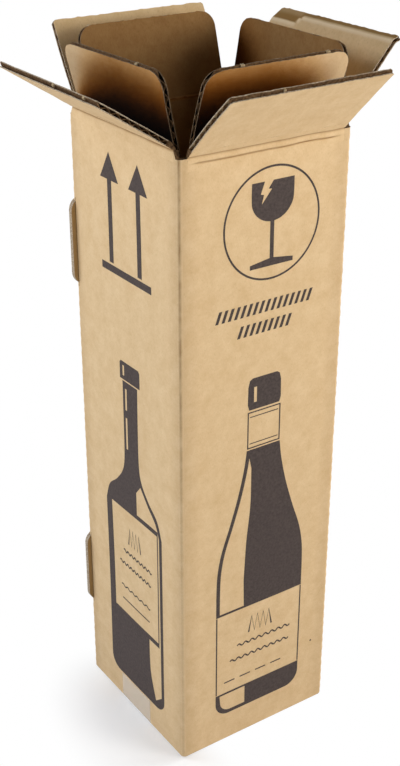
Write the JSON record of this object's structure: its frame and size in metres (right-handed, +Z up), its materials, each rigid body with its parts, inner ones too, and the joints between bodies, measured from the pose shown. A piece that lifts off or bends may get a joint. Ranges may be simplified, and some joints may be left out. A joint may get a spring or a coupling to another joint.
{
  "type": "wine shipping box",
  "caption": "Tall square corrugated shipping box for one wine bottle: folded carton with taped base, nested inner sleeve and open hinged top flaps.",
  "frame": {"origin": "middle of the base, on the floor", "axes": "+Z up, -Y to the front wall with the glass sign, -X to the wall with the arrows"},
  "size_m": [0.1878, 0.1726, 0.4268],
  "materials": {
    "carton_board": "uncoated kraft liner, matt",
    "sleeve_board": "uncoated kraft liner, matt",
    "clear_tape": "clear packing tape, gloss"
  },
  "bodies": {
    "carton": {"outer_carton": "carton_board", "inner_sleeve": "sleeve_board", "base_tape": "clear_tape"},
    "front_flap": {"front_flap": "carton_board"},
    "left_flap": {"left_flap": "carton_board"},
    "back_flap": {"back_flap": "carton_board"},
    "right_flap": {"right_flap": "carton_board"},
    "inner_front_flap": {"inner_front_flap": "sleeve_board"},
    "inner_left_flap": {"inner_left_flap": "sleeve_board"},
    "inner_back_flap": {"inner_back_flap": "sleeve_board"},
    "inner_right_flap": {"inner_right_flap": "sleeve_board"}
  },
  "joints": [
    {"name": "front_flap_fold", "type": "hinge", "parent": "carton", "child": "front_flap", "pos_m": [0, -0.055, 0.3825], "axis": [1, 0, 0], "range_deg": [-19, 126]},
    {"name": "left_flap_fold", "type": "hinge", "parent": "carton", "child": "left_flap", "pos_m": [-0.055, 0, 0.3865], "axis": [0, -1, 0], "range_deg": [-21, 113]},
    {"name": "back_flap_fold", "type": "hinge", "parent": "carton", "child": "back_flap", "pos_m": [0, 0.055, 0.3825], "axis": [-1, 0, 0], "range_deg": [-8, 137]},
    {"name": "right_flap_fold", "type": "hinge", "parent": "carton", "child": "right_flap", "pos_m": [0.055, 0, 0.3865], "axis": [0, 1, 0], "range_deg": [-8.5, 125.5]},
    {"name": "inner_front_flap_fold", "type": "hinge", "parent": "carton", "child": "inner_front_flap", "pos_m": [0, -0.0502, 0.3823], "axis": [1, 0, 0], "range_deg": [-104.5, 3.5]},
    {"name": "inner_left_flap_fold", "type": "hinge", "parent": "carton", "child": "inner_left_flap", "pos_m": [-0.0502, 0, 0.379], "axis": [0, -1, 0], "range_deg": [-104.5, 3.5]},
    {"name": "inner_back_flap_fold", "type": "hinge", "parent": "carton", "child": "inner_back_flap", "pos_m": [0, 0.0502, 0.3823], "axis": [-1, 0, 0], "range_deg": [-105, 3]},
    {"name": "inner_right_flap_fold", "type": "hinge", "parent": "carton", "child": "inner_right_flap", "pos_m": [0.0502, 0, 0.379], "axis": [0, 1, 0], "range_deg": [-102, 6]}
  ]
}
